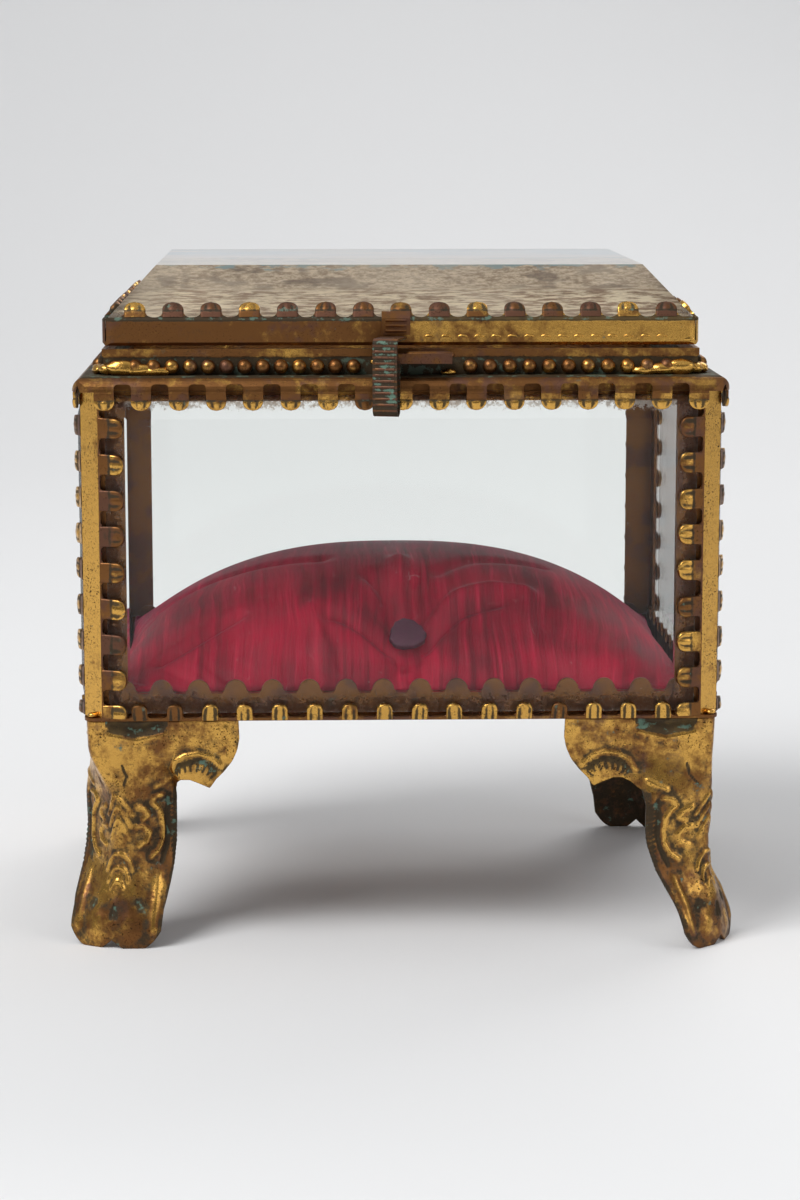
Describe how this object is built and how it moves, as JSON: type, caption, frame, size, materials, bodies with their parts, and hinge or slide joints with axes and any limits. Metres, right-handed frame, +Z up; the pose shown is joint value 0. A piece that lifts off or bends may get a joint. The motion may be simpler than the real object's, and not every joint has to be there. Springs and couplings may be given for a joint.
{
  "type": "glass casket box",
  "caption": "Small trinket casket with bevelled glass walls held by pronged brass strip, hinged glass lid over a print, spring clasp, cushion and cabriole legs.",
  "frame": {"origin": "centre of the footprint on the surface that the feet stand on", "axes": "+Z up, +X to the right of someone facing the clasp, +Y from the clasp to the hinge"},
  "size_m": [0.087, 0.0724, 0.0869],
  "materials": {
    "bevelled_glass": "bevelled clear glass, dusty and lightly scratched",
    "tarnished_brass": "stamped sheet, gold on the high places, brown and pitted in the hollows",
    "spring_brass": "ribbed spring strip, purple brown tarnish",
    "cushion_satin": "tufted raspberry satin",
    "button_satin": "covered button",
    "card": "grey brown card",
    "print_paper": "printed paper under the glass"
  },
  "bodies": {
    "box": {"glass_front": "bevelled_glass", "glass_back": "bevelled_glass", "glass_left": "bevelled_glass", "glass_right": "bevelled_glass", "post_front_left": "tarnished_brass", "post_front_right": "tarnished_brass", "post_back_left": "tarnished_brass", "post_back_right": "tarnished_brass", "top_rail_front": "tarnished_brass", "top_rail_back": "tarnished_brass", "top_rail_left": "tarnished_brass", "top_rail_right": "tarnished_brass", "bottom_rail_front": "tarnished_brass", "bottom_rail_back": "tarnished_brass", "bottom_rail_left": "tarnished_brass", "bottom_rail_right": "tarnished_brass", "angle_front_left": "tarnished_brass", "angle_front_right": "tarnished_brass", "angle_back_left": "tarnished_brass", "angle_back_right": "tarnished_brass", "base_tray": "tarnished_brass", "cushion_board": "card", "cushion": "cushion_satin", "cushion_button": "button_satin", "leg_front_left": "tarnished_brass", "leg_front_right": "tarnished_brass", "leg_back_left": "tarnished_brass", "leg_back_right": "tarnished_brass", "catch_ledge": "spring_brass", "hinge_leaf_box": "tarnished_brass", "hinge_pin": "spring_brass"},
    "lid": {"lid_frame": "tarnished_brass", "lid_glass": "bevelled_glass", "lid_print": "print_paper", "lid_backing": "card", "hinge_leaf_lid": "tarnished_brass", "clasp_plate": "spring_brass"},
    "clasp": {"clasp_strip": "spring_brass"}
  },
  "joints": [
    {"name": "lid_hinge", "type": "hinge", "parent": "box", "child": "lid", "pos_m": [0, 0.03045, 0.07695], "axis": [-1, 0, 0], "range_deg": [0, 105]},
    {"name": "clasp_spring", "type": "hinge", "parent": "lid", "child": "clasp", "pos_m": [-0.0009, -0.02995, 0.0782], "axis": [-0.9703, 0.2419, 0], "range_deg": [0, 12], "stiffness_Nm_per_rad": 0.02}
  ]
}
